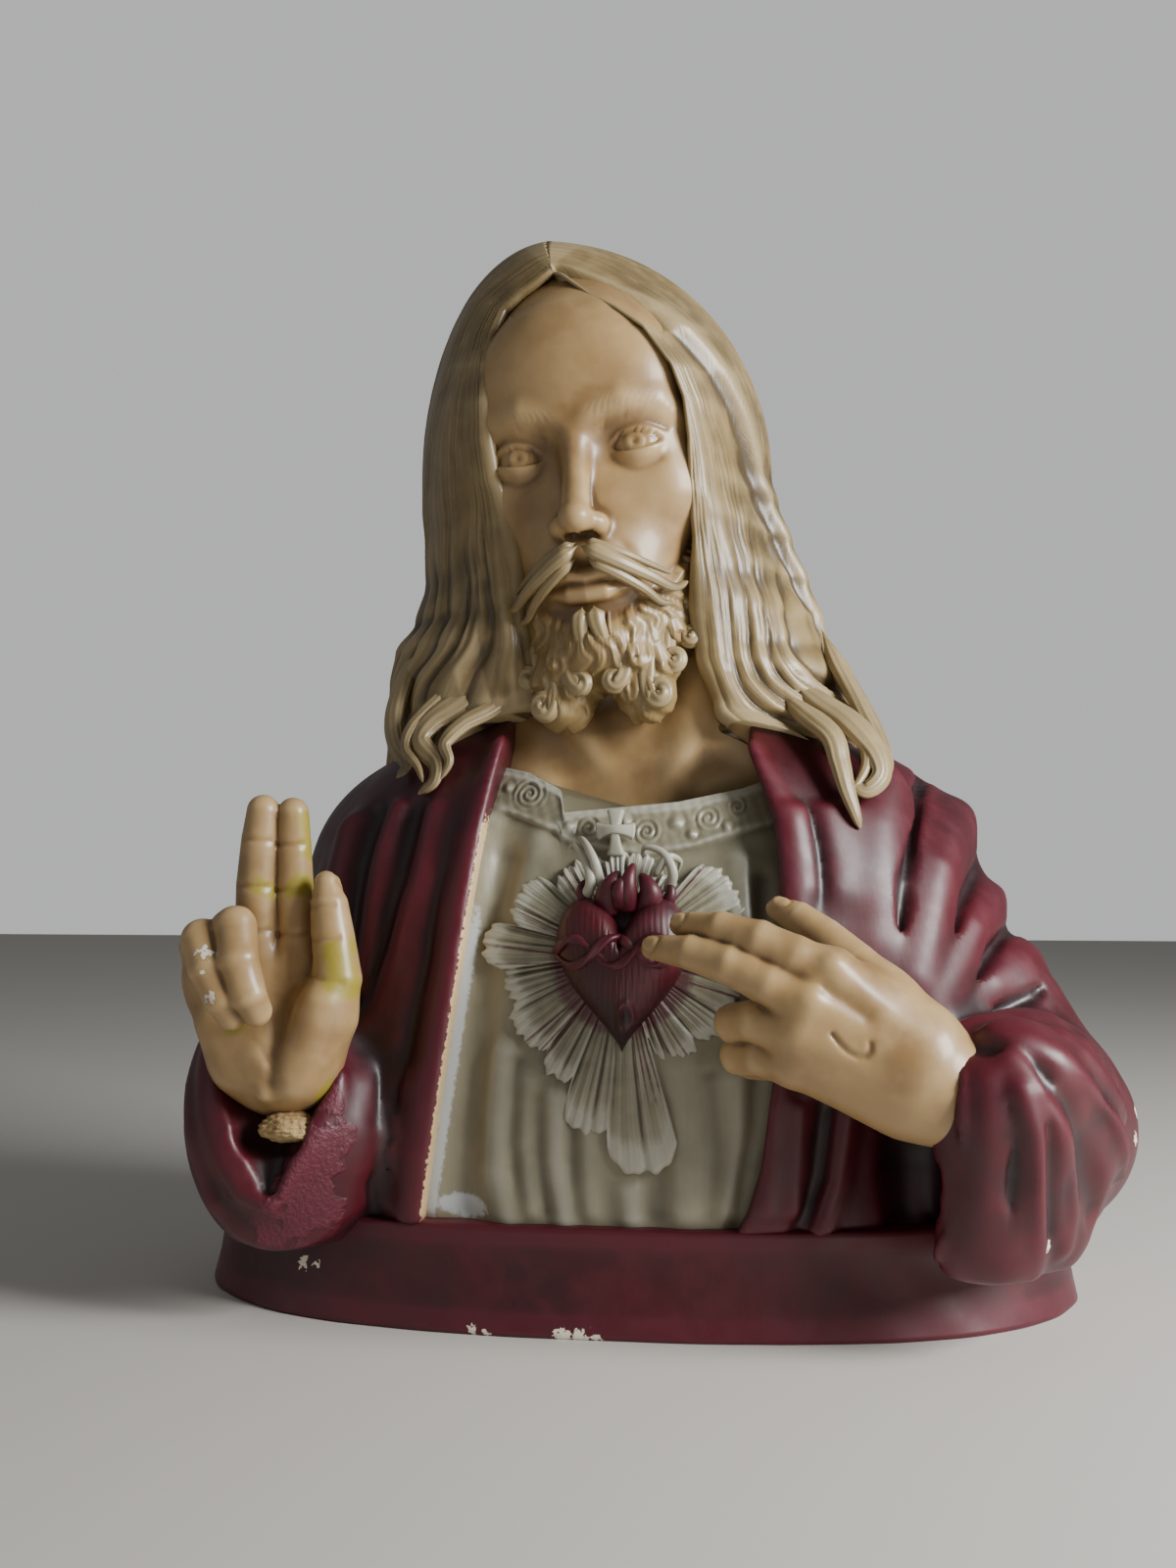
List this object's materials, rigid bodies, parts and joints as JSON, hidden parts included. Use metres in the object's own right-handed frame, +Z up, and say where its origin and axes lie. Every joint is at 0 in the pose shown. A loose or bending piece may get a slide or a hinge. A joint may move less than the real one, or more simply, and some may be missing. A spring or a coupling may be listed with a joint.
{
  "type": "sacred heart bust",
  "caption": "Painted plaster bust of a robed, bearded figure with raised open hand, the other at a flaming heart with rays, on a low oval plinth.",
  "frame": {"origin": "middle of the flat underside of the plinth", "axes": "+Z up, the figure faces -Y, +X to the viewer's right when looking at its face"},
  "size_m": [0.5079, 0.3353, 0.5879],
  "materials": {
    "wine_paint": "gloss",
    "flesh_paint": "satin",
    "hair_paint": "satin",
    "cream_paint": "satin"
  },
  "bodies": {
    "root": {"bust": "wine_paint", "raised_hand": "flesh_paint", "resting_hand": "flesh_paint"}
  },
  "joints": []
}
